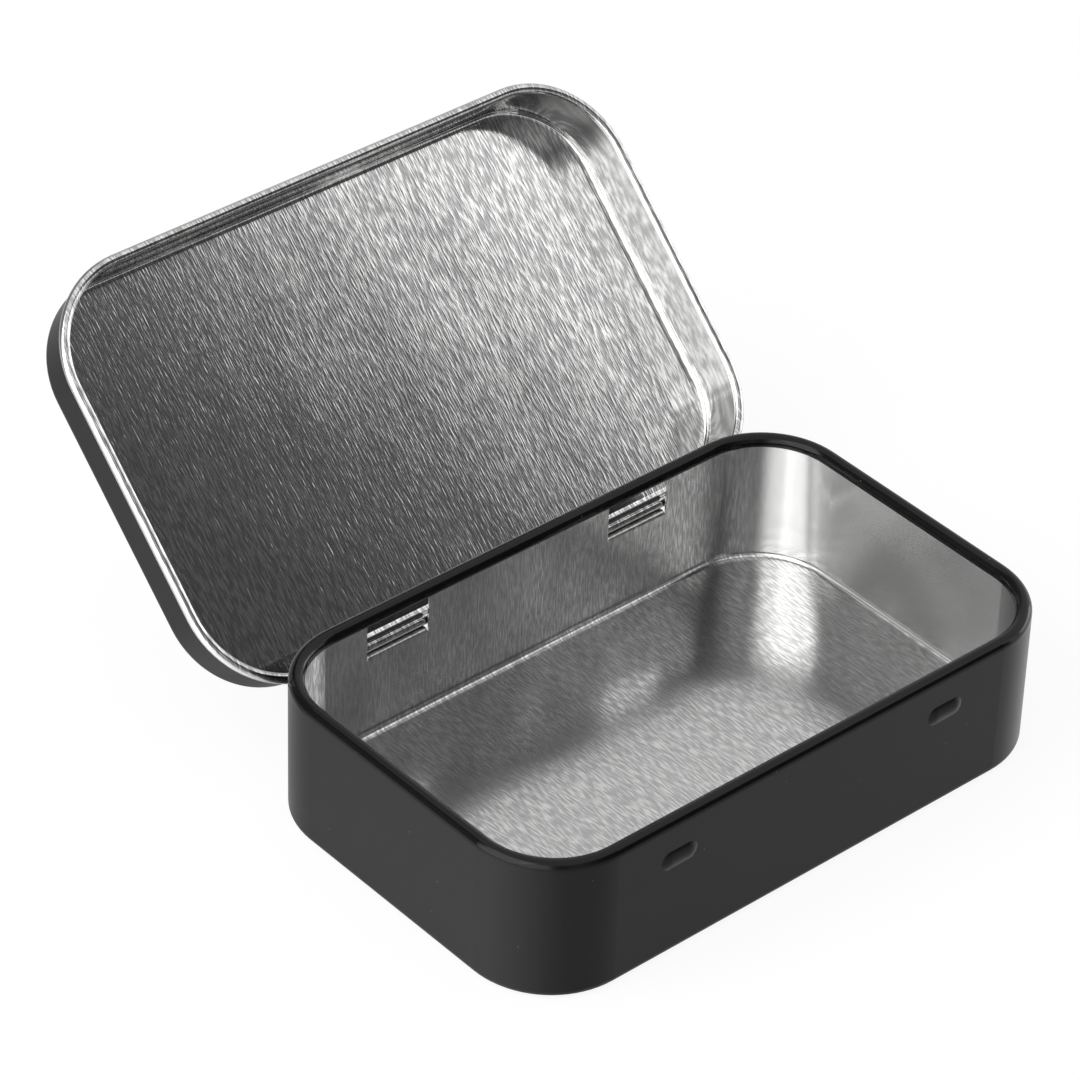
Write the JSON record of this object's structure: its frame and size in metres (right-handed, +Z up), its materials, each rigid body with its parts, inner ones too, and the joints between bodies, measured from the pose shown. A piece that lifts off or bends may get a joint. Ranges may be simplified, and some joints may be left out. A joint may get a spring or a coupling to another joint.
{
  "type": "hinged card tin",
  "caption": "Shallow rounded tin with a hinged lid for a small card deck: inward-curled rim, rear bead hinge with lanced tongues, front snap dimples.",
  "frame": {"origin": "centre of the tray's underside", "axes": "+X right, +Y back towards the hinge, +Z up"},
  "size_m": [0.0984, 0.1111, 0.0584],
  "materials": {
    "coated_tinplate": "black coating, matt on the walls and glossy on the curled rim; bare brushed tinplate inside",
    "bare_tinplate": "bare brushed tinplate inside and on the bead; black coating outside"
  },
  "bodies": {
    "tray": {"base_tray": "coated_tinplate"},
    "lid": {"lid": "bare_tinplate"}
  },
  "joints": [
    {"name": "lid_hinge", "type": "hinge", "parent": "tray", "child": "lid", "pos_m": [0, 0.03095, 0.01444], "axis": [1, 0, 0], "range_deg": [0, 136]}
  ]
}
